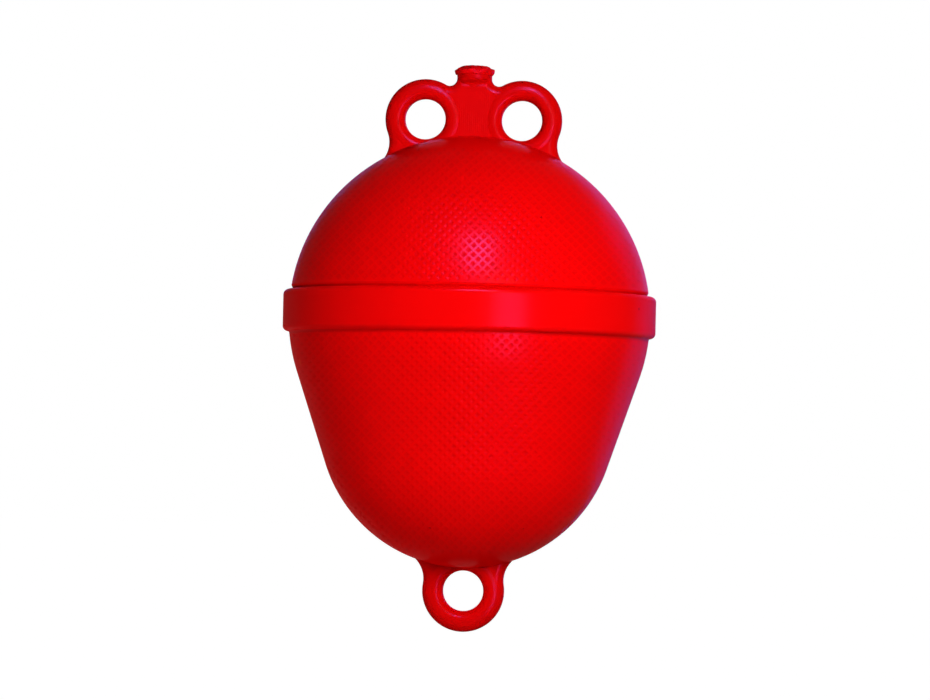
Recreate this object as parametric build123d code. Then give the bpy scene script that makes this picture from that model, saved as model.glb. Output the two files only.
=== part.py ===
from build123d import *
import math
import os

# Mooring buoy: a hollow pear-shaped float of hard plastic, with two eyes side by side
# on top for the mooring line and the pick-up line, a sealed filling neck between them,
# one eye below for the chain, and a smooth band round the waterline that takes the rubs.
# Millimetres. The origin is on the buoy's axis at the waterline, half way up the band.
# Z is up, X runs across the two top eyes, and Y runs through the eyes' holes.

# Body: a crown sphere, a bowl sphere below it, and the cone that touches both
CROWN_RADIUS = 124.4
CROWN_CENTRE_Z = -2.0
BOWL_RADIUS = 102.0
BOWL_DROP = 70.5
WALL = 4.0

# Joint of the two shells under the band: a spigot on the lower rim fits into the upper rim
RIM_WALL = 6.0
RIM_REACH = 7.0
SPIGOT_HEIGHT = 9.0
FIT_GAP = 0.15

# Rubbing band, in a seat turned into both rims, with a rib that keeps it at the joint
BAND_PROUD = 3.9
BAND_HEIGHT = 29.0
BAND_CORNER = 3.6
BAND_SEAT_DEPTH = 2.2
RIB_HEIGHT = 8.0
RIB_DEPTH = 1.2

# Eyes: a bead round each hole, which rises from the hole's land to its crown and falls to its edge
EYE_HOLE_RADIUS = 13.9
EYE_LAND = 4.0
EYE_THICKNESS = 16.0
EYE_EDGE = 2.0
BEAD_INNER_RUN = 5.9
TOP_BEAD_WIDTH = 13.8
BOTTOM_BEAD_WIDTH = 14.3
TOP_EYE_SPACING = 66.6
TOP_EYE_CLEARANCE = 2.1
BOTTOM_EYE_CLEARANCE = 1.8

# Webs that carry the eyes: a hollow flank touches each bead and runs a little into the shell
WEB_THICKNESS = 14.4
WEB_EDGE_RADIUS = 6.2
FLANK_RADIUS = 19.0
FLANK_DIP = 1.4
NECK_HOLLOW_RADIUS = 5.0

# Roots: tongues of the webs that go through slots in the shells and end flush inside
ROOT_END_SHOULDER = 6.0
ROOT_SIDE_SHOULDER = 2.5
ROOT_GAP = 0.15
SEAT_GAP = 0.1

# Filling neck, whose skirt clasps the top web, and the seal that closes it
NECK_RADIUS = 12.0
NECK_SKIRT = 2.4
NECK_STAND = 2.9
NECK_BORE_RADIUS = 7.0
CHANNEL_RADIUS = 3.5
SEAL_PLUG_GAP = 0.5
SEAL_RIM_OVERHANG = 1.9
SEAL_RIM_LOW = 1.2
SEAL_RIM_HIGH = 3.2
SEAL_SHOULDER_HEIGHT = 4.2
SEAL_HEIGHT = 6.3
SEAL_FLAT_RADIUS = 7.0

# Sizes and places that follow
bowl_centre_z = CROWN_CENTRE_Z - BOWL_DROP
cone_angle = math.degrees(math.asin((CROWN_RADIUS - BOWL_RADIUS) / BOWL_DROP))
band_radius = CROWN_RADIUS + BAND_PROUD
seat_radius = CROWN_RADIUS - BAND_SEAT_DEPTH
groove_radius = seat_radius - RIB_DEPTH
rim_inner_radius = seat_radius - RIM_WALL
lap_radius = (rim_inner_radius + groove_radius) / 2
top_eye_radius = EYE_HOLE_RADIUS + TOP_BEAD_WIDTH
bottom_eye_radius = EYE_HOLE_RADIUS + BOTTOM_BEAD_WIDTH
eye_crown_radius = EYE_HOLE_RADIUS + BEAD_INNER_RUN
top_eye_x = TOP_EYE_SPACING / 2
crown_height_at_eye = math.sqrt(CROWN_RADIUS**2 - top_eye_x**2)
top_eye_z = CROWN_CENTRE_Z + crown_height_at_eye + TOP_EYE_CLEARANCE + EYE_HOLE_RADIUS
bottom_eye_z = bowl_centre_z - BOWL_RADIUS - BOTTOM_EYE_CLEARANCE - EYE_HOLE_RADIUS


# Centre of the flank's circle, which touches the bead and dips into the shell's sphere
def flank_centre(eye, eye_radius, sphere_z, sphere_radius):
    to_eye = eye_radius + FLANK_RADIUS
    to_sphere = sphere_radius + FLANK_RADIUS - FLANK_DIP
    line = Vector(0, sphere_z) - Vector(*eye)
    turn = math.acos((to_eye**2 + line.length**2 - to_sphere**2) / (2 * to_eye * line.length))
    side = math.copysign(1, line.Y) * -math.degrees(turn)
    return Vector(*eye) + line.normalized().rotate(Axis.Z, side) * to_eye


# Centre of the circle that touches the bead and the side of the neck
def neck_hollow_centre(eye, eye_radius):
    across = NECK_RADIUS + NECK_HOLLOW_RADIUS - eye[0]
    up = math.sqrt((eye_radius + NECK_HOLLOW_RADIUS) ** 2 - across**2)
    return Vector(*eye) + Vector(across, up)


top_eye = (top_eye_x, top_eye_z)
bottom_eye = (0, bottom_eye_z)
top_flank = flank_centre(top_eye, top_eye_radius, CROWN_CENTRE_Z, CROWN_RADIUS)
bottom_flank = flank_centre(bottom_eye, bottom_eye_radius, bowl_centre_z, BOWL_RADIUS)
neck_hollow = neck_hollow_centre(top_eye, top_eye_radius)
neck_seat_z = neck_hollow.Y
neck_top_z = neck_seat_z + NECK_STAND


# Half section of the body, in from its skin by inset; x is the radius and y the height
def body_section(inset):
    with BuildSketch() as section:
        with BuildLine():
            crown = CenterArc((0, CROWN_CENTRE_Z), CROWN_RADIUS - inset, -cone_angle, 90 + cone_angle)
            bowl = CenterArc((0, bowl_centre_z), BOWL_RADIUS - inset, -90, 90 - cone_angle)
            Line(crown @ 0, bowl @ 1)
            Line(crown @ 1, bowl @ 0)
        make_face()
    return section.sketch


# Rectangle in a section, from radius to radius and from height to height
def block(inner, outer, low, high):
    return Pos((inner + outer) / 2, (low + high) / 2) * Rectangle(outer - inner, high - low)


def turned(section):
    return revolve(Plane.XZ * section, Axis.Z)


def body_solid(inset):
    return turned(body_section(inset))


# Wall of the float with its thickened rims and the band's seat, before it is parted in two
def wall_section():
    rim_half = BAND_HEIGHT / 2 + RIM_REACH
    rim = block(rim_inner_radius, CROWN_RADIUS, -rim_half, rim_half) & body_section(0)
    seat = block(seat_radius, band_radius, -BAND_HEIGHT / 2, BAND_HEIGHT / 2)
    groove = block(groove_radius, band_radius, -RIB_HEIGHT / 2, RIB_HEIGHT / 2)
    return body_section(0) - body_section(WALL) + rim - seat - groove


def upper_shell():
    above_joint = block(0, band_radius, 0, CROWN_CENTRE_Z + 2 * CROWN_RADIUS)
    socket = block(0, lap_radius, 0, SPIGOT_HEIGHT + FIT_GAP)
    shell = turned((wall_section() & above_joint) - socket)
    return shell - root_prism(top_flank, top_eye_z, CROWN_CENTRE_Z, ROOT_GAP)


def lower_shell():
    below_joint = block(0, band_radius, bowl_centre_z - 2 * BOWL_RADIUS, 0)
    spigot = block(rim_inner_radius, lap_radius - FIT_GAP, 0, SPIGOT_HEIGHT)
    shell = turned((wall_section() & below_joint) + spigot)
    return shell - root_prism(bottom_flank, bottom_eye_z, bowl_centre_z, ROOT_GAP)


def rubbing_band():
    half = BAND_HEIGHT / 2 - FIT_GAP
    hoop = block(seat_radius + FIT_GAP, band_radius, -half, half)
    hoop = fillet(hoop.vertices().group_by(Axis.X)[-1], BAND_CORNER)
    rib_half = RIB_HEIGHT / 2 - FIT_GAP
    rib = block(groove_radius + FIT_GAP, seat_radius + BAND_SEAT_DEPTH, -rib_half, rib_half)
    return turned(hoop + rib)


# Quarter ellipses meet at the bead's crown; one half is turned round the hole and mirrored
def eye_bead(eye, outer_radius):
    half = EYE_THICKNESS / 2
    outer_run = outer_radius - eye_crown_radius
    with BuildSketch() as section:
        with BuildLine():
            inner = EllipticalCenterArc(
                (eye_crown_radius, EYE_LAND / 2), BEAD_INNER_RUN, half - EYE_LAND / 2, start_angle=90
            )
            outer = EllipticalCenterArc((eye_crown_radius, EYE_EDGE / 2), outer_run, half - EYE_EDGE / 2)
            Polyline(inner @ 1, (EYE_HOLE_RADIUS, 0), (outer_radius, 0), outer @ 0)
        make_face()
    half_bead = revolve(section.sketch, Axis.Y)
    return Pos(eye[0], 0, eye[1]) * (half_bead + mirror(half_bead, Plane.XZ))


# Stretch of web between an eye and the centres that its other corners name, less a hollow
def web(hollow, hollow_radius, *corners):
    side = make_face(Polyline(tuple(hollow), *corners, close=True))
    return side - Pos(hollow) * Circle(hollow_radius)


# Plate that stands in the XZ plane, cut to half an outline and its mirror image
def web_plate(half_outline):
    outline = half_outline + mirror(half_outline, Plane.YZ)
    plate = extrude(Plane.XZ * outline, WEB_THICKNESS / 2, both=True)
    return fillet(plate.faces().filter_by(Axis.Y).edges(), WEB_EDGE_RADIUS)


# Tongue under the web from the middle of the body to the eye, or with a gap the slot for it
def root_prism(flank, eye_z, centre_z, gap):
    half_width = flank.X - FLANK_RADIUS - ROOT_END_SHOULDER + gap
    half_thickness = WEB_THICKNESS / 2 - ROOT_SIDE_SHOULDER + gap
    return Pos(0, 0, (eye_z + centre_z) / 2) * Box(2 * half_width, 2 * half_thickness, abs(eye_z - centre_z))


def root(flank, eye_z, centre_z):
    return root_prism(flank, eye_z, centre_z, 0) & (body_solid(-SEAT_GAP) - body_solid(WALL))


# Lug from its plate: each eye is cut out and gets its bead, and the foot is cut to the shell
def finished_lug(plate, eyes, eye_radius):
    for eye in eyes:
        plate -= Pos(eye[0], 0, eye[1]) * Rot(90, 0, 0) * Cylinder(eye_crown_radius, EYE_THICKNESS)
        plate += eye_bead(eye, eye_radius)
    return plate - body_solid(-SEAT_GAP)


def top_lug():
    middle = (0, CROWN_CENTRE_Z)
    half = web(top_flank, FLANK_RADIUS, top_eye, middle)
    half += web(neck_hollow, NECK_HOLLOW_RADIUS, top_eye, middle, (0, neck_seat_z))
    half += Pos(*top_eye) * Circle(top_eye_radius)
    other_eye = (-top_eye_x, top_eye_z)
    lug = finished_lug(web_plate(half), [top_eye, other_eye], top_eye_radius)
    lug += root(top_flank, top_eye_z, CROWN_CENTRE_Z)
    return lug - Pos(0, 0, neck_seat_z / 2) * Cylinder(CHANNEL_RADIUS, neck_seat_z)


def bottom_lug():
    half = web(bottom_flank, FLANK_RADIUS, bottom_eye, (0, bowl_centre_z))
    half += Pos(*bottom_eye) * Circle(bottom_eye_radius)
    lug = finished_lug(web_plate(half), [bottom_eye], bottom_eye_radius)
    return lug + root(bottom_flank, bottom_eye_z, bowl_centre_z)


# The web's top stands in the slot of the neck's skirt
def filler_neck():
    height = NECK_STAND + NECK_SKIRT
    tube = Cylinder(NECK_RADIUS, height) - Cylinder(NECK_BORE_RADIUS, height)
    slot = Box(2 * NECK_RADIUS, WEB_THICKNESS + 2 * FIT_GAP, NECK_SKIRT)
    return Pos(0, 0, neck_top_z - height / 2) * (tube - Pos(0, 0, (NECK_SKIRT - height) / 2) * slot)


# The seal's plug fills the neck's bore down to the web, and its rim overhangs the neck
def neck_seal():
    plug_radius = NECK_BORE_RADIUS - FIT_GAP
    rim_radius = NECK_RADIUS + SEAL_RIM_OVERHANG
    with BuildSketch() as section:
        with BuildLine():
            sides = Polyline(
                (0, SEAL_HEIGHT),
                (0, SEAL_PLUG_GAP - NECK_STAND),
                (plug_radius, SEAL_PLUG_GAP - NECK_STAND),
                (plug_radius, 0),
                (NECK_RADIUS, 0),
                (rim_radius, SEAL_RIM_LOW),
                (rim_radius, SEAL_RIM_HIGH),
                (NECK_RADIUS, SEAL_SHOULDER_HEIGHT),
            )
            flat = Line((0, SEAL_HEIGHT), (SEAL_FLAT_RADIUS, SEAL_HEIGHT))
            TangentArc(flat @ 1, sides @ 1, tangent=flat % 1)
        make_face()
    return Pos(0, 0, neck_top_z) * turned(section.sketch)


pieces = {
    "upper_shell": upper_shell(),
    "lower_shell": lower_shell(),
    "rubbing_band": rubbing_band(),
    "top_lug": top_lug(),
    "bottom_lug": bottom_lug(),
    "filler_neck": filler_neck(),
    "neck_seal": neck_seal(),
}

os.makedirs("parts", exist_ok=True)
for name, piece in pieces.items():
    export_step(piece, f"parts/{name}.step")
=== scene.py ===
import bpy
import math
import random
from mathutils import Matrix, Vector


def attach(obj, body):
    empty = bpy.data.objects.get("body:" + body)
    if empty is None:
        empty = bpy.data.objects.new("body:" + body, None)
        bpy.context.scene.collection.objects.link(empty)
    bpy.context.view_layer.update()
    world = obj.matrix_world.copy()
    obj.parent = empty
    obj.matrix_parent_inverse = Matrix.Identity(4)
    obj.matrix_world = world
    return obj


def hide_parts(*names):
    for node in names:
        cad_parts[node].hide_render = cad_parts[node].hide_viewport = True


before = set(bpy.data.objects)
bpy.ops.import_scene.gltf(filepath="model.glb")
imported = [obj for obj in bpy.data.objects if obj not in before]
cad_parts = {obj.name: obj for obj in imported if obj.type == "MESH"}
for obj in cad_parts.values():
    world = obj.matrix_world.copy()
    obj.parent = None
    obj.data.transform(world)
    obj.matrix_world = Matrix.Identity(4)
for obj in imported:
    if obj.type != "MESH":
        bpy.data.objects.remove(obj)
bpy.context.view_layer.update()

# Mooring buoy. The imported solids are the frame. The two shells are modelled again over them with
# their moulded grip pattern, and so are the filling neck and the torn seal that closes it.
# Metres. The origin is on the axis at the waterline, Z up, X across the two top eyes.

MM = 0.001

# Body: a ball for the crown, a smaller one for the bottom, and the cone that touches both
CROWN_RADIUS = 124.4 * MM
CROWN_CENTRE = -2.0 * MM
BOWL_RADIUS = 102.0 * MM
BOWL_CENTRE = -72.5 * MM
CONE_SIN = (CROWN_RADIUS - BOWL_RADIUS) / (CROWN_CENTRE - BOWL_CENTRE)
CONE_COS = math.sqrt(1 - CONE_SIN ** 2)
CONE_TOP = CROWN_CENTRE - CROWN_RADIUS * CONE_SIN
CONE_FOOT = BOWL_CENTRE - BOWL_RADIUS * CONE_SIN

# Rubbing band: its edges lie this far from the waterline, and the shells run on under it
BAND_EDGE = 14.35 * MM
UNDER_BAND = 6.0 * MM

# The shells beside the band: mm beyond the band's edge and radius in mm. The crown turns in
# above the band, which makes the seam, and the cone has a hollow fillet below it. The slack
# takes in points that a cut left a hair beside their ring
UPPER_ROOT = (
    (-0.4, 123.35), (0.0, 121.5), (0.5, 121.68), (1.1, 121.98), (1.7, 122.35), (2.3, 122.68),
    (2.8, 122.86), (3.2, 122.855))
LOWER_ROOT = (
    (-0.3, 124.84), (-0.03, 124.48), (0.24, 124.17), (0.6, 123.92), (1.0, 123.74),
    (1.42, 123.625), (1.85, 123.587))
ROOT_SLACK = 1e-4

# Fineness of the shells, and the angle in degrees up to which an edge is smooth
BALL_SEGMENTS = 256
BALL_RINGS = 160
CONE_RINGS = 20
SHOULDER_RINGS = 12
SHELL_SMOOTHING = 8

# Grip pattern: sunken pyramids on a square lattice that stands on its corners, pressed by a
# mould whose halves part along Y, so the lattice is even when seen along Y. The first two are
# its pitch, the third is the flat land between two pits. One pit of each shell is given by X, Z
PIT_ACROSS = 6.33 * MM
PIT_UPWARD = 6.15 * MM
PIT_LAND = 0.85 * MM
UPPER_PIT = (15.32 * MM, 42.2 * MM)
LOWER_PIT = (32.21 * MM, -20.95 * MM)

# A pit goes down in a gentle shoulder and then to a point. Its cutter starts a lip above the
# skin and reaches out by its cover
PIT_SHOULDER_RUN = 0.5 * MM
PIT_SHOULDER_DROP = 0.06 * MM
PIT_DEPTH = 0.33 * MM
PIT_LIP = 0.05 * MM
PIT_COVER = 1.5 * MM

# The lattice is wider than the body. It keeps the pits on skin whose normal has at least this
# part along Y, this far from the band and from the poles
LATTICE_WIDTH = 400 * MM
PIT_FACING = 0.13
PIT_MARGIN = 3.45 * MM
POLE_CLEAR = 8 * MM

# Towards the sides the pits get smaller and shallower with that part of the normal, down to
# the least
PIT_SIZE_GAIN = 1.8
PIT_SIZE_LEAST = 0.55
PIT_DEPTH_GAIN = 0.85
PIT_DEPTH_LEAST = 0.4

# A cutter's face looks along Y when this part of its normal does. A pit's side is steep when it
# leans by more than this angle from the smooth skin, clear of the seams by this much
FACES_Y = 0.9
STEEP = math.radians(4)
SEAM_CLEAR = 2.5 * MM


# Modelling by hand


def take(obj):
    """One object alone is selected, in object mode."""
    if bpy.context.object and bpy.context.object.mode != "OBJECT":
        bpy.ops.object.mode_set(mode="OBJECT")
    bpy.ops.object.select_all(action="DESELECT")
    obj.select_set(True)
    bpy.context.view_layer.objects.active = obj


def place_applied(obj):
    """The object's place, turn and scale go into its mesh."""
    take(obj)
    bpy.ops.object.transform_apply(location=True, rotation=True, scale=True)


def edit(obj):
    """Edit mode, with all of the object's faces selected."""
    take(obj)
    bpy.ops.object.mode_set(mode="EDIT")
    bpy.ops.mesh.select_mode(type="FACE")
    bpy.ops.mesh.select_all(action="SELECT")


def choose_faces(obj, wanted):
    """The wanted faces alone are selected, by their place or normal, then edit mode is on."""
    bpy.ops.object.mode_set(mode="OBJECT")
    for face in obj.data.polygons:
        face.select = wanted(face)
    for edge in obj.data.edges:
        edge.select = False
    for vert in obj.data.vertices:
        vert.select = False
    for face in obj.data.polygons:
        if face.select:
            for i in face.vertices:
                obj.data.vertices[i].select = True
    bpy.ops.object.mode_set(mode="EDIT")


def face_outwards():
    """All faces of the edited mesh point outwards."""
    bpy.ops.mesh.select_all(action="SELECT")
    bpy.ops.mesh.normals_make_consistent(inside=False)


def cut_level(z, **ends):
    """The edited mesh is cut level at a height. The ends say what goes and what is closed."""
    bpy.ops.mesh.select_all(action="SELECT")
    bpy.ops.mesh.bisect(plane_co=(0, 0, z), plane_no=(0, 0, 1), **ends)


def draw_up(rise, grow_x, grow_y, z):
    """The selected rim or disc is drawn up by a rise and resized at its new height."""
    bpy.ops.mesh.extrude_region_move(TRANSFORM_OT_translate={"value": (0, 0, rise)})
    bpy.ops.transform.resize(value=(grow_x, grow_y, 1), center_override=(0, 0, z))


def shape_by(obj, name, kind, **settings):
    """One modifier is added, set and applied."""
    take(obj)
    modifier = obj.modifiers.new(name, kind)
    for key, value in settings.items():
        setattr(modifier, key, value)
    bpy.ops.object.modifier_apply(modifier=name)


def finish_piece(piece, node, angle):
    """A finished piece is smoothed and stands in for its solid."""
    take(piece)
    bpy.ops.object.shade_smooth_by_angle(angle=math.radians(angle))
    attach(piece, "root")
    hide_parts(node)
    return piece


# Shells


def body_radius(z):
    """Radius of the smooth body at a height, and the normal's radial and upward parts."""
    if z > CONE_TOP:
        centre, ball_radius = CROWN_CENTRE, CROWN_RADIUS
    elif z < CONE_FOOT:
        centre, ball_radius = BOWL_CENTRE, BOWL_RADIUS
    else:
        along = (CONE_TOP - z) / (CONE_TOP - CONE_FOOT)
        wide = CROWN_RADIUS * CONE_COS
        slim = BOWL_RADIUS * CONE_COS
        return wide + (slim - wide) * along, CONE_COS, -CONE_SIN
    reach = ball_radius ** 2 - (z - centre) ** 2
    radius = math.sqrt(reach) if reach > 0 else 0.0
    return radius, radius / ball_radius, (z - centre) / ball_radius


def on_body(x, z, side):
    """Point of the smooth body at x and z on the front (-1) or back (+1), and its normal."""
    radius, out, up = body_radius(z)
    if radius <= abs(x):
        return None
    y = side * math.sqrt(radius ** 2 - x ** 2)
    normal = Vector((out * x / radius, out * y / radius, up))
    return Vector((x, y, z)), normal


def ball(radius, centre):
    """A ball on the axis, in edit mode."""
    bpy.ops.mesh.primitive_uv_sphere_add(
        segments=BALL_SEGMENTS, ring_count=BALL_RINGS, radius=radius, location=(0, 0, centre))
    skin = bpy.context.object
    place_applied(skin)
    edit(skin)
    return skin


def upper_form():
    """The crown's ball, cut level under the band."""
    skin = ball(CROWN_RADIUS, CROWN_CENTRE)
    cut_level(BAND_EDGE - UNDER_BAND, use_fill=True, clear_inner=True)
    band_root(skin, UPPER_ROOT, 1)
    return skin


def lower_form():
    """The bowl's ball, with the cone drawn up from it."""
    skin = ball(BOWL_RADIUS, BOWL_CENTRE)
    cut_level(CONE_FOOT, clear_outer=True)
    rise_cone()
    band_root(skin, LOWER_ROOT, -1)
    return skin


def rise_cone():
    """From the bowl's open rim, rings go up the cone and the crown's ball to under the band."""
    top = -BAND_EDGE + UNDER_BAND
    heights = [CONE_FOOT + (CONE_TOP - CONE_FOOT) * i / CONE_RINGS
               for i in range(1, CONE_RINGS + 1)]
    heights += [CONE_TOP + (top - CONE_TOP) * i / SHOULDER_RINGS
                for i in range(1, SHOULDER_RINGS + 1)]
    bpy.ops.mesh.select_mode(type="EDGE")
    bpy.ops.mesh.select_all(action="DESELECT")
    bpy.ops.mesh.select_non_manifold(
        extend=False, use_wire=False, use_boundary=True, use_multi_face=False,
        use_non_contiguous=False, use_verts=False)
    now = CONE_FOOT
    for z in heights:
        grow = body_radius(z)[0] / body_radius(now)[0]
        draw_up(z - now, grow, grow, z)
        now = z
    bpy.ops.mesh.edge_face_add()
    bpy.ops.mesh.select_mode(type="FACE")
    face_outwards()


def band_root(skin, rings, side):
    """Shapes a shell by its rings, above the band (1) or below it (-1), and ends editing."""
    for rise, _ in rings:
        cut_level(side * (BAND_EDGE + rise * MM))
    bpy.ops.object.mode_set(mode="OBJECT")
    for vert in skin.data.vertices:
        rise = (side * vert.co.z - BAND_EDGE) / MM
        for below, above in zip(rings, rings[1:]):
            if below[0] - ROOT_SLACK <= rise <= above[0] + ROOT_SLACK:
                share = (rise - below[0]) / (above[0] - below[0])
                radius = (below[1] + (above[1] - below[1]) * share) * MM
                grow = radius / math.hypot(vert.co.x, vert.co.y)
                vert.co.x *= grow
                vert.co.y *= grow
                break


def has_room(x, z, low, high, side):
    """Whether a pit fits there: between two heights, on skin that faces its mould half."""
    spot = on_body(x, z, side)
    return (spot is not None and abs(spot[1].y) >= PIT_FACING
            and low + PIT_MARGIN < z < high - PIT_MARGIN
            and on_body(abs(x) + PIT_ACROSS / 2, z, side) is not None)


def pit_lattice(name, one_pit):
    """Flat squares with lands between them, in the plane of X and Z, in edit mode."""
    cell = PIT_ACROSS / math.sqrt(2)
    count = 2 * math.ceil(LATTICE_WIDTH / cell / 2) + 1
    bpy.ops.mesh.primitive_grid_add(
        x_subdivisions=count, y_subdivisions=count, size=count * cell,
        rotation=(math.pi / 2, math.pi / 4, 0))
    tool = bpy.context.object
    tool.name = name
    place_applied(tool)
    tool.scale = (1, 1, PIT_UPWARD / PIT_ACROSS)
    tool.location = (one_pit[0], 0, one_pit[1])
    place_applied(tool)
    edit(tool)
    bpy.ops.mesh.inset(use_individual=True, thickness=PIT_LAND / 2)
    bpy.ops.mesh.select_all(action="INVERT")
    bpy.ops.mesh.delete(type="FACE")
    return tool


def pit_cutters(name, low, high, side, one_pit):
    """All pits of one mould half between two heights, as one mesh of small pyramids."""
    tool = pit_lattice(name, one_pit)
    choose_faces(tool, lambda f: not has_room(f.center.x, f.center.z, low, high, side))
    bpy.ops.mesh.delete(type="FACE")
    bpy.ops.mesh.select_all(action="SELECT")
    bpy.ops.mesh.extrude_region_move(
        TRANSFORM_OT_translate={"value": (0, side * PIT_COVER, 0)})
    face_outwards()
    choose_faces(tool, lambda f: abs(f.center.y) < PIT_COVER / 4 and abs(f.normal.y) > FACES_Y)
    bpy.ops.mesh.inset(
        use_individual=True, thickness=PIT_SHOULDER_RUN, depth=PIT_LIP + PIT_SHOULDER_DROP)
    bpy.ops.mesh.poke(offset=PIT_DEPTH - PIT_SHOULDER_DROP)
    bpy.ops.object.mode_set(mode="OBJECT")
    lay_on_body(tool, side, one_pit)
    return tool


def lay_on_body(tool, side, one_pit):
    """Bends the flat cutters over the body, smaller and shallower towards the sides."""
    for vert in tool.data.vertices:
        x0, z0 = nearest_pit(vert.co.x, vert.co.z, one_pit)
        facing = abs(on_body(x0, z0, side)[1].y)
        size = min(1.0, max(PIT_SIZE_LEAST, PIT_SIZE_GAIN * facing))
        point, normal = on_body(
            x0 + (vert.co.x - x0) * size, z0 + (vert.co.z - z0) * size, side)
        out = side * vert.co.y
        if out < 0:
            out *= min(1.0, PIT_DEPTH_LEAST + PIT_DEPTH_GAIN * facing)
        vert.co = point + normal * (out + PIT_LIP)


def nearest_pit(x, z, one_pit):
    """Centre of the pit that a point of the lattice belongs to."""
    across = (x - one_pit[0]) / PIT_ACROSS
    upward = (z - one_pit[1]) / PIT_UPWARD
    spots = []
    for shift in (0.0, 0.5):
        i = round(across - shift) + shift
        j = round(upward - shift) + shift
        away = abs(across - i) + abs(upward - j)
        spots.append((away, one_pit[0] + i * PIT_ACROSS, one_pit[1] + j * PIT_UPWARD))
    return min(spots)[1:]


def shell(name, node, skin, low, high, one_pit):
    """A shell's form gets its name and, between two heights, the pits of both mould halves."""
    skin.name = name
    for side in (-1, 1):
        tool = pit_cutters(name + "_pits", low, high, side, one_pit)
        shape_by(skin, "pits", "BOOLEAN", operation="DIFFERENCE", solver="MANIFOLD", object=tool)
        take(tool)
        bpy.ops.object.delete()
    return finish_piece(skin, node, SHELL_SMOOTHING)


def finish_by_slope(skin, land_finish, pit_finish):
    """The steep sides of the pits get their own finish, all else that of the lands."""
    mesh = skin.data
    mesh.materials.clear()
    mesh.materials.append(land_finish)
    mesh.materials.append(pit_finish)
    for face in mesh.polygons:
        x, y, z = face.center
        out, up = body_radius(z)[1:]
        reach = math.hypot(x, y)
        smooth_normal = Vector((out * x / reach, out * y / reach, up))
        steep = face.normal.dot(smooth_normal) < math.cos(STEEP)
        face.material_index = int(steep and abs(z) > BAND_EDGE + SEAM_CLEAR)


# Filling neck and its seal

# Edges of both are smooth up to this angle in degrees
NECK_SMOOTHING = 40


def drawn_up(name, rings, sides):
    """A closed round piece, drawn up from a disc ring by ring. A ring starts with its half
    width in X, its half depth in Y and its height, in mm."""
    bpy.ops.mesh.primitive_circle_add(
        vertices=sides, radius=MM, fill_type="NGON", location=(0, 0, rings[0][2] * MM))
    piece = bpy.context.object
    piece.name = name
    piece.scale = (rings[0][0], rings[0][1], 1)
    place_applied(piece)
    edit(piece)
    for last, ring in zip(rings, rings[1:]):
        draw_up((ring[2] - last[2]) * MM, ring[0] / last[0], ring[1] / last[1], ring[2] * MM)
    bpy.ops.mesh.poke()
    face_outwards()
    bpy.ops.object.mode_set(mode="OBJECT")
    return piece


# Neck: a short round stub, thicker than the web, whose foot runs out on the web's faces
NECK_SIDES = 96
NECK_RINGS = (
    (10.5, 6.9, 155.6), (11.3, 7.35, 156.6), (11.7, 7.5, 157.6), (11.9, 7.75, 158.5),
    (12.0, 8.5, 159.25), (12.05, 9.6, 159.9), (12.05, 10.7, 160.5), (12.05, 11.4, 161.1),
    (12.05, 11.8, 161.8), (12.05, 12.0, 162.6), (12.05, 12.1, 163.5), (12.1, 12.15, 164.4),
    (12.2, 12.2, 165.4))


def filling_neck():
    """The neck's stub."""
    neck = drawn_up("filling_neck_stub", NECK_RINGS, NECK_SIDES)
    return finish_piece(neck, "filler_neck", NECK_SMOOTHING)


# Seal: plastic melted shut and trimmed by hand, which left a torn rim. The last value of a ring
# is how much it is torn, and within this distance of the axis nothing is
SEAL_MIDDLE = 1 * MM
SEAL_SIDES = 72
SEAL_RINGS = (
    (11.6, 11.6, 164.6, 0.0), (12.7, 12.7, 165.0, 0.5), (13.1, 13.1, 165.6, 0.9),
    (13.4, 13.4, 166.6, 1.0), (13.65, 13.65, 167.7, 1.0), (13.5, 13.5, 168.05, 1.0),
    (12.7, 12.7, 168.5, 0.9), (11.6, 11.6, 169.3, 0.6), (10.3, 10.3, 170.2, 0.4),
    (9.0, 9.0, 170.85, 0.25), (7.4, 7.4, 171.15, 0.15), (5.0, 5.0, 171.2, 0.12),
    (2.6, 2.6, 171.2, 0.1))
SEAL_LEVELS = 2

# The tear, lengths in mm: so many waves round the rim, which twist with height, and shreds
TEAR_SEED = 5
TEAR_WAVES = (3, 5, 8, 11, 17)
WAVE_LEAST = 0.5
WAVE_TWIST = 0.9
WAVE_OUT = 0.55
WAVE_IN = 0.1
SHRED_OUT = 0.12
LIFT_WAVES = 7
LIFT_START = 1.3
LIFT_HEIGHT = 0.4
SHRED_LIFT = 0.14

# Tips of the tear: angle and length in mm of each, on the rings that are torn most
TIPS = ((math.pi, 0.6), (-0.03, 1.2), (0.5, 0.5), (2.5, 0.4), (-2.3, 0.5), (-1.0, 0.5),
        (1.3, 0.6), (-1.7, 0.3))
TIP_SPREAD = 0.2
TIP_TORN = 0.8
TIP_OUT = 0.7
TIP_LIFT = 0.35

# Crumples of the melted plastic
CRUMPLE_WIDTH = 2.2 * MM
CRUMPLE_DEPTH = 0.9 * MM
CRUMPLE_DETAIL = 2


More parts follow.
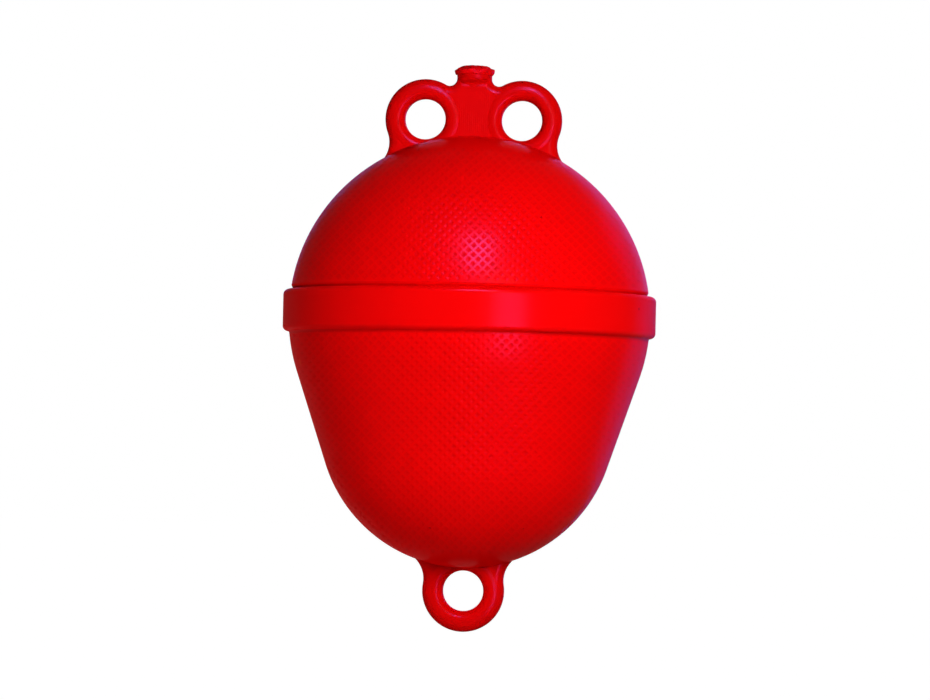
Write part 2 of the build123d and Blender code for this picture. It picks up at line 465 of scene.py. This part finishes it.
def tear(seal):
    """Pulls the seal's rings out of round, most at the rim."""
    rng = random.Random(TEAR_SEED)
    waves = [(count, rng.uniform(0, 2 * math.pi), rng.uniform(WAVE_LEAST, 1.0))
             for count in TEAR_WAVES]
    for vert in seal.data.vertices:
        radius = math.hypot(vert.co.x, vert.co.y)
        if radius < SEAL_MIDDLE:
            continue
        z = vert.co.z / MM
        torn = min(SEAL_RINGS, key=lambda r: abs(r[0] - radius / MM) + abs(r[2] - z))[3]
        angle = math.atan2(vert.co.y, vert.co.x)
        wave = sum(strength * math.sin(count * angle + start + WAVE_TWIST * z)
                   for count, start, strength in waves) / len(waves)
        tip = 0.0
        for way, reach in TIPS:
            off = abs((angle - way + math.pi) % (2 * math.pi) - math.pi)
            tip = max(tip, reach * max(0.0, 1 - off / TIP_SPREAD))
        out = torn * (WAVE_OUT * wave - WAVE_IN + SHRED_OUT * rng.uniform(-1, 1))
        lift = torn * (LIFT_HEIGHT * math.sin(LIFT_WAVES * angle + LIFT_START)
                       + SHRED_LIFT * rng.uniform(-1, 1))
        if torn > TIP_TORN:
            out += TIP_OUT * tip
            lift += TIP_LIFT * tip
        vert.co.x += math.cos(angle) * out * MM
        vert.co.y += math.sin(angle) * out * MM
        vert.co.z += lift * MM


def torn_seal():
    """The seal, torn, softened and crumpled."""
    seal = drawn_up("torn_neck_seal", SEAL_RINGS, SEAL_SIDES)
    tear(seal)
    shape_by(seal, "soft", "SUBSURF", levels=SEAL_LEVELS, render_levels=SEAL_LEVELS)
    crumple = bpy.data.textures.new("crumpled_plastic", "CLOUDS")
    crumple.noise_scale = CRUMPLE_WIDTH
    crumple.noise_depth = CRUMPLE_DETAIL
    shape_by(seal, "dents", "DISPLACE", texture=crumple, texture_coords="LOCAL",
             strength=CRUMPLE_DEPTH, mid_level=0.5)
    return finish_piece(seal, "neck_seal", NECK_SMOOTHING)


# Colours and finishes

# Polyethylene: its index, the roughness of the body under its gloss, and the width of the
# clouds in its colour
POLYETHYLENE_IOR = 1.51
BODY_ROUGHNESS = (0.36, 0.5)
CLOUD_WIDTH = 45 * MM

# Specks and stains: place and radius in mm, colour, strength. The core is their even part
SPECK = "8c0206"
STAIN = "f84018"
MARK_CORE = 0.4
GRIP_MARKS = (
    ((52.1, -92.3, 63.1), 1.3, SPECK, 0.65), ((-19.2, -67.4, -146.6), 1.2, SPECK, 0.6),
    ((43.0, -56.2, -146.0), 1.1, SPECK, 0.6), ((-112.3, -41.2, -36.2), 4.0, STAIN, 0.3))
BAND_MARKS = (((117.9, -50.7, 4.4), 1.2, SPECK, 0.6),)

# Painted shade in the seams above and below the band, a dark line: height, reach, strength
SEAM_SHADE_TINT = "900203"
SEAM_SHADE_CORE = 0.15
PAINTED_SEAM_SHADE = ((15.1 * MM, 1.4 * MM, 0.36), (-15.5 * MM, 1.8 * MM, 0.35))

# Flat of the web between the eyes: axis, and where it starts and has ended fading, in mm
WEB_FLAT = (("X", 10.5, 13.0), ("Z", 152.0, 156.0))

# Ribs on that flat. A wave texture repeats every pi / 10 at scale 1
RIB_PITCH = 1.4 * MM
RIB_DEPTH = 0.05 * MM
RIB_UNEVEN = 0.6
WAVE_PERIOD = math.pi / 10


def linear(hex_code):
    """An sRGB hex colour as linear light."""
    out = []
    for i in (0, 2, 4):
        c = int(hex_code[i:i + 2], 16) / 255
        out.append(c / 12.92 if c <= 0.04045 else ((c + 0.055) / 1.055) ** 2.4)
    return (*out, 1.0)


def add(tree, kind, settings=None, links=None, values=None, **named):
    """One node with its settings, its links and the values of its sockets."""
    node = tree.nodes.new(kind)
    for key, value in (settings or {}).items():
        setattr(node, key, value)
    for key, value in (values or {}).items():
        node.inputs[key].default_value = value
    for key, value in named.items():
        node.inputs[key.replace("_", " ")].default_value = value
    for key, source in (links or {}).items():
        tree.links.new(source, node.inputs[key])
    return node


def new_material(name):
    """A material with no nodes yet, and its tree."""
    mat = bpy.data.materials.new(name)
    mat.use_nodes = True
    mat.node_tree.nodes.clear()
    return mat, mat.node_tree


def moulded_polyethylene(name, colour, deep, coat, coat_rough, grain_mm, grain_depth,
                         ribs=None, marks=(), seams=()):
    """Rotomoulded polyethylene: deep even colour, a soft waxy gloss and a faint orange peel."""
    mat, tree = new_material(name)
    place = add(tree, "ShaderNodeTexCoord").outputs["Object"]
    cloud = add(tree, "ShaderNodeTexNoise", {}, {"Vector": place},
                Scale=1 / CLOUD_WIDTH, Detail=3.0)
    tone = add(tree, "ShaderNodeMix", {"data_type": "RGBA"}, {0: cloud.outputs["Fac"]},
               {6: linear(colour), 7: linear(deep)})
    shade = tone.outputs[2]
    for spot, radius, tint, strength in marks:
        shade = mark(tree, place, shade, spot, radius, tint, strength)
    # Painted shade along the seams above and below the band
    for height, reach, strength in seams:
        shade = painted_seam_shade(tree, place, shade, height, reach, strength)
    peel = add(tree, "ShaderNodeTexNoise", {}, {"Vector": place},
               Scale=1 / (grain_mm * MM), Detail=2.0)
    bump = add(tree, "ShaderNodeBump", {}, {"Height": peel.outputs["Fac"]},
               Strength=1.0, Distance=grain_depth * MM)
    if ribs:
        area = web_area(tree, place)
        bump = web_ribs(tree, place, area, bump)
        blend = add(tree, "ShaderNodeMix", {"data_type": "RGBA"}, {0: area, 6: shade},
                    {7: linear(ribs)})
        shade = blend.outputs[2]
    rough = add(tree, "ShaderNodeMapRange", {}, {"Value": cloud.outputs["Fac"]},
                To_Min=BODY_ROUGHNESS[0], To_Max=BODY_ROUGHNESS[1])
    skin = add(tree, "ShaderNodeBsdfPrincipled", {}, {
        "Base Color": shade, "Normal": bump.outputs["Normal"],
        "Coat Normal": bump.outputs["Normal"], "Roughness": rough.outputs["Result"]},
        IOR=POLYETHYLENE_IOR, Specular_IOR_Level=0.0, Coat_Weight=coat,
        Coat_Roughness=coat_rough)
    add(tree, "ShaderNodeOutputMaterial", {}, {"Surface": skin.outputs["BSDF"]})
    return mat


def mark(tree, place, shade, spot, radius, tint, strength):
    """A small speck or stain on the skin at one place, with a soft edge."""
    away = add(tree, "ShaderNodeVectorMath", {"operation": "DISTANCE"}, {0: place},
               {1: [c * MM for c in spot]})
    near = add(tree, "ShaderNodeMapRange", {"interpolation_type": "SMOOTHSTEP"},
               {"Value": away.outputs["Value"]}, From_Min=MARK_CORE * radius * MM,
               From_Max=radius * MM, To_Min=strength, To_Max=0.0)
    blend = add(tree, "ShaderNodeMix", {"data_type": "RGBA"},
                {0: near.outputs["Result"], 6: shade}, {7: linear(tint)})
    return blend.outputs[2]


def painted_seam_shade(tree, place, shade, height, reach, strength):
    """Painted shade: a dark line in a seam round the buoy at one height, with soft edges."""
    part = add(tree, "ShaderNodeSeparateXYZ", {}, {"Vector": place})
    rise = add(tree, "ShaderNodeMath", {"operation": "SUBTRACT"}, {0: part.outputs["Z"]},
               {1: height})
    off = add(tree, "ShaderNodeMath", {"operation": "ABSOLUTE"}, {0: rise.outputs[0]})
    near = add(tree, "ShaderNodeMapRange", {"interpolation_type": "SMOOTHSTEP"},
               {"Value": off.outputs[0]}, From_Min=SEAM_SHADE_CORE * reach, From_Max=reach,
               To_Min=strength, To_Max=0.0)
    blend = add(tree, "ShaderNodeMix", {"data_type": "RGBA"},
                {0: near.outputs["Result"], 6: shade}, {7: linear(SEAM_SHADE_TINT)})
    return blend.outputs[2]


def web_area(tree, place):
    """1 on the flat of the web between the two eyes, 0 elsewhere."""
    part = add(tree, "ShaderNodeSeparateXYZ", {}, {"Vector": place})
    within = []
    for axis, inner, outer in WEB_FLAT:
        away = add(tree, "ShaderNodeMath", {"operation": "ABSOLUTE"}, {0: part.outputs[axis]})
        step = add(tree, "ShaderNodeMapRange", {}, {"Value": away.outputs[0]},
                   From_Min=inner * MM, From_Max=outer * MM, To_Min=1.0, To_Max=0.0)
        within.append(step.outputs["Result"])
    both = add(tree, "ShaderNodeMath", {"operation": "MULTIPLY"}, {0: within[0], 1: within[1]})
    return both.outputs[0]


def web_ribs(tree, place, area, under):
    """Fine upright ribs on the flat of the web, drawn a little coarse to show."""
    wave = add(tree, "ShaderNodeTexWave", {"bands_direction": "X"}, {"Vector": place},
               Scale=WAVE_PERIOD / RIB_PITCH, Distortion=RIB_UNEVEN, Detail=1.0)
    height = add(tree, "ShaderNodeMath", {"operation": "MULTIPLY"},
                 {0: wave.outputs["Fac"], 1: area})
    return add(tree, "ShaderNodeBump", {},
               {"Height": height.outputs[0], "Normal": under.outputs["Normal"]},
               Strength=1.0, Distance=RIB_DEPTH)


def dress(obj, mat):
    """The whole of a piece gets one finish."""
    if not obj.material_slots:
        obj.data.materials.append(mat)
    for slot in obj.material_slots:
        slot.material = mat


# Stage

# White all round where it is seen, with little light on the buoy from it
WHITE = (1, 1, 1, 1)
AMBIENT = 0.005

# Floor below the whole buoy, in metres. Its own glow grows from the middle outwards, where the
# lamps no longer light its grey
FLOOR_Z = -0.6
FLOOR_SIZE = 60
FLOOR_GREY = (0.35, 0.35, 0.35, 1)
GLOW_MIDDLE = 0.55
GLOW_FROM = 0.5
GLOW_FULL = 2.2

# Camera: distance and height in metres, turn and lean in degrees, lens and sensor in mm, far
# end of sight in metres, image and place of the band's middle in pixels
CAMERA_DISTANCE = 3.2
CAMERA_Z = -0.10
CAMERA_AZIMUTH = 3.5
LEAN = 1.3
LENS = 180
SENSOR = 36
FAR_END = 200
IMAGE_WIDTH = 930
IMAGE_HEIGHT = 700
BAND_PIXEL = (469.4, 314.3)

# Colours of the lamps that show in the gloss
LILAC = (0.4, 0.2, 1.0)
PALE_LILAC = (0.4, 0.25, 1.0)
VIOLET_BLUE = (0.05, 0.1, 1.0)


def seen_rays(tree):
    """1 for rays from the camera, in a gloss or through clear matter, 0 for scattered light."""
    path = add(tree, "ShaderNodeLightPath")
    seen = add(tree, "ShaderNodeMath", {"operation": "MAXIMUM"},
               {0: path.outputs["Is Camera Ray"], 1: path.outputs["Is Glossy Ray"]})
    through = add(tree, "ShaderNodeMath", {"operation": "MAXIMUM"},
                  {0: seen.outputs[0], 1: path.outputs["Is Transmission Ray"]})
    return through.outputs[0]


def white_world():
    """A white studio round the buoy."""
    world = bpy.data.worlds.new("white_studio")
    bpy.context.scene.world = world
    world.use_nodes = True
    tree = world.node_tree
    tree.nodes.clear()
    level = add(tree, "ShaderNodeMapRange", {}, {"Value": seen_rays(tree)},
                To_Min=AMBIENT, To_Max=1.0)
    sky = add(tree, "ShaderNodeBackground", {}, {"Strength": level.outputs["Result"]},
              Color=WHITE)
    add(tree, "ShaderNodeOutputWorld", {}, {"Surface": sky.outputs[0]})


def pale_floor():
    """A pale floor that keeps the buoy's shadow."""
    bpy.ops.mesh.primitive_plane_add(size=FLOOR_SIZE, location=(0, 0, FLOOR_Z))
    floor = bpy.context.object
    floor.name = "studio_floor"
    mat, tree = new_material("white_studio_floor")
    place = add(tree, "ShaderNodeTexCoord").outputs["Object"]
    reach = add(tree, "ShaderNodeVectorMath", {"operation": "LENGTH"}, {"Vector": place})
    glow = add(tree, "ShaderNodeMapRange", {"interpolation_type": "SMOOTHSTEP"},
               {"Value": reach.outputs["Value"]}, From_Min=GLOW_FROM, From_Max=GLOW_FULL,
               To_Min=GLOW_MIDDLE, To_Max=1.0)
    power = add(tree, "ShaderNodeMath", {"operation": "MULTIPLY"},
                {0: glow.outputs["Result"], 1: seen_rays(tree)})
    white = add(tree, "ShaderNodeEmission", {}, {"Strength": power.outputs[0]}, Color=WHITE)
    matt = add(tree, "ShaderNodeBsdfDiffuse", Color=FLOOR_GREY)
    both = add(tree, "ShaderNodeAddShader", {}, {0: matt.outputs[0], 1: white.outputs[0]})
    add(tree, "ShaderNodeOutputMaterial", {}, {"Surface": both.outputs[0]})
    dress(floor, mat)


def lamp(name, azimuth, elevation, distance, wide, tall, level, colour=(1, 1, 1),
         in_diffuse=True, in_gloss=True):
    """Area lamp aimed at the buoy. Level 1 renders a surface that faces it as it is written."""
    light = bpy.data.lights.new(name, "AREA")
    light.shape = "RECTANGLE"
    light.size = wide
    light.size_y = tall
    light.energy = level * math.pi ** 2 * distance ** 2
    light.color = colour
    obj = bpy.data.objects.new(name, light)
    bpy.context.scene.collection.objects.link(obj)
    turn = math.radians(azimuth)
    rise = math.radians(elevation)
    way = Vector((math.sin(turn) * math.cos(rise), -math.cos(turn) * math.cos(rise),
                  math.sin(rise)))
    obj.location = way * distance
    obj.rotation_euler = (-way).to_track_quat("-Z", "Y").to_euler()
    obj.visible_diffuse = in_diffuse
    obj.visible_glossy = in_gloss
    obj.visible_camera = False


def photo_camera():
    """Long lens from a little below, turned so that the band's middle falls on its pixel."""
    azimuth = math.radians(CAMERA_AZIMUTH)
    place = Vector((CAMERA_DISTANCE * math.sin(azimuth),
                    -CAMERA_DISTANCE * math.cos(azimuth), CAMERA_Z))
    look = (-place).to_track_quat("-Z", "Y").to_matrix()
    turned = look @ Matrix.Rotation(math.radians(LEAN), 3, "Z")
    focal = LENS / SENSOR * IMAGE_WIDTH
    up = math.atan((IMAGE_HEIGHT / 2 - BAND_PIXEL[1]) / focal)
    right = math.atan((BAND_PIXEL[0] - IMAGE_WIDTH / 2) / focal)
    turned = turned @ Matrix.Rotation(-up, 3, "X") @ Matrix.Rotation(right, 3, "Y")
    data = bpy.data.cameras.new("photo_camera")
    data.lens = LENS
    data.sensor_width = SENSOR
    data.clip_end = FAR_END
    cam = bpy.data.objects.new("photo_camera", data)
    bpy.context.scene.collection.objects.link(cam)
    cam.matrix_world = Matrix.Translation(place) @ turned.to_4x4()
    bpy.context.scene.camera = cam


photo_camera()
white_world()
pale_floor()

# Azimuth from the front and elevation in degrees, distance, width and height in metres, level.
# The first four shade the body and stay out of the gloss, the others show only in the gloss
lamp("key_softbox", 23, 16, 1.5, 0.62, 0.62, 0.95, in_gloss=False)
lamp("low_fill", -66, -22, 1.2, 0.28, 0.28, 0.18, in_gloss=False)
lamp("rear_fill_right", 178, 15, 3.0, 0.8, 0.8, 0.4, in_gloss=False)
lamp("rear_fill_left", -178, 10, 3.0, 0.8, 0.8, 0.4, in_gloss=False)
lamp("upper_sparkle", 9, 38, 1.5, 0.38, 0.54, 4.4, colour=LILAC, in_diffuse=False)
lamp("side_sparkle", 27, -20, 1.5, 0.5, 1.4, 3.2, colour=LILAC, in_diffuse=False)
lamp("crest_sparkle", 180, 14, 2.4, 2.2, 0.9, 0.8, colour=PALE_LILAC, in_diffuse=False)
lamp("rim_sparkle", 150, 5, 1.8, 1.6, 1.8, 1.6, colour=VIOLET_BLUE, in_diffuse=False)

bpy.context.scene.view_settings.view_transform = "Standard"

# Finishes

# Moulded lands of the shells: full red with a thin waxy gloss, which spreads the lilac
# highlights into soft patches. Specks, one stain and the painted shade of the seams lie in it
grip = moulded_polyethylene(
    "red_polyethylene_grip", "fc0304", "f40304", coat=0.04, coat_rough=0.24,
    grain_mm=1.6, grain_depth=0.03, marks=GRIP_MARKS, seams=PAINTED_SEAM_SHADE)

# Steep sides of the pits, left duller by the mould: half the gloss and a rougher one, so the
# diamonds show as soft dark and light and don't glitter. Their red is a little darker than the
# lands', which is painted shade in the pits
pits = moulded_polyethylene(
    "red_polyethylene_pit_painted_shade", "f60304", "ec0304", coat=0.022, coat_rough=0.38,
    grain_mm=1.6, grain_depth=0.03)

# Smooth band: the most even red and the flattest grain, which gives one clean upright sheen
smooth = moulded_polyethylene(
    "red_polyethylene_smooth", "fc0304", "f60304", coat=0.032, coat_rough=0.22,
    grain_mm=2.2, grain_depth=0.02, marks=BAND_MARKS)

# Lugs of thick solid plastic: a deeper red than the shells, which is painted shade on their
# faces, a close satin gloss along the rounded eyes, and faint ribs on the flat web
satin = moulded_polyethylene(
    "red_polyethylene_lug", "dc0304", "d40304", coat=0.035, coat_rough=0.22,
    grain_mm=1.2, grain_depth=0.03, ribs="dc0304")

# Side of the filling neck: the lugs' deeper red with the same painted shade, a little rougher,
# so it stays quiet under the seal
neck_side = moulded_polyethylene(
    "red_polyethylene_neck", "da0304", "cc0304", coat=0.035, coat_rough=0.3,
    grain_mm=1.2, grain_depth=0.04)

# Melted and cut plastic of the seal: the roughest gloss on the deepest grain, which gives the
# torn rim a waxy, crumpled look
cut_end = moulded_polyethylene(
    "red_polyethylene_cut", "f00305", "dc0305", coat=0.06, coat_rough=0.45,
    grain_mm=0.9, grain_depth=0.08)

# Buoy

upper = shell("upper_skin", "upper_shell", upper_form(),
              BAND_EDGE, CROWN_CENTRE + CROWN_RADIUS - POLE_CLEAR, UPPER_PIT)
lower = shell("lower_skin", "lower_shell", lower_form(),
              BOWL_CENTRE - BOWL_RADIUS + POLE_CLEAR, -BAND_EDGE, LOWER_PIT)
finish_by_slope(upper, grip, pits)
finish_by_slope(lower, grip, pits)
dress(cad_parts["rubbing_band"], smooth)
dress(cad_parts["top_lug"], satin)
dress(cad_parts["bottom_lug"], satin)
dress(filling_neck(), neck_side)
dress(torn_seal(), cut_end)
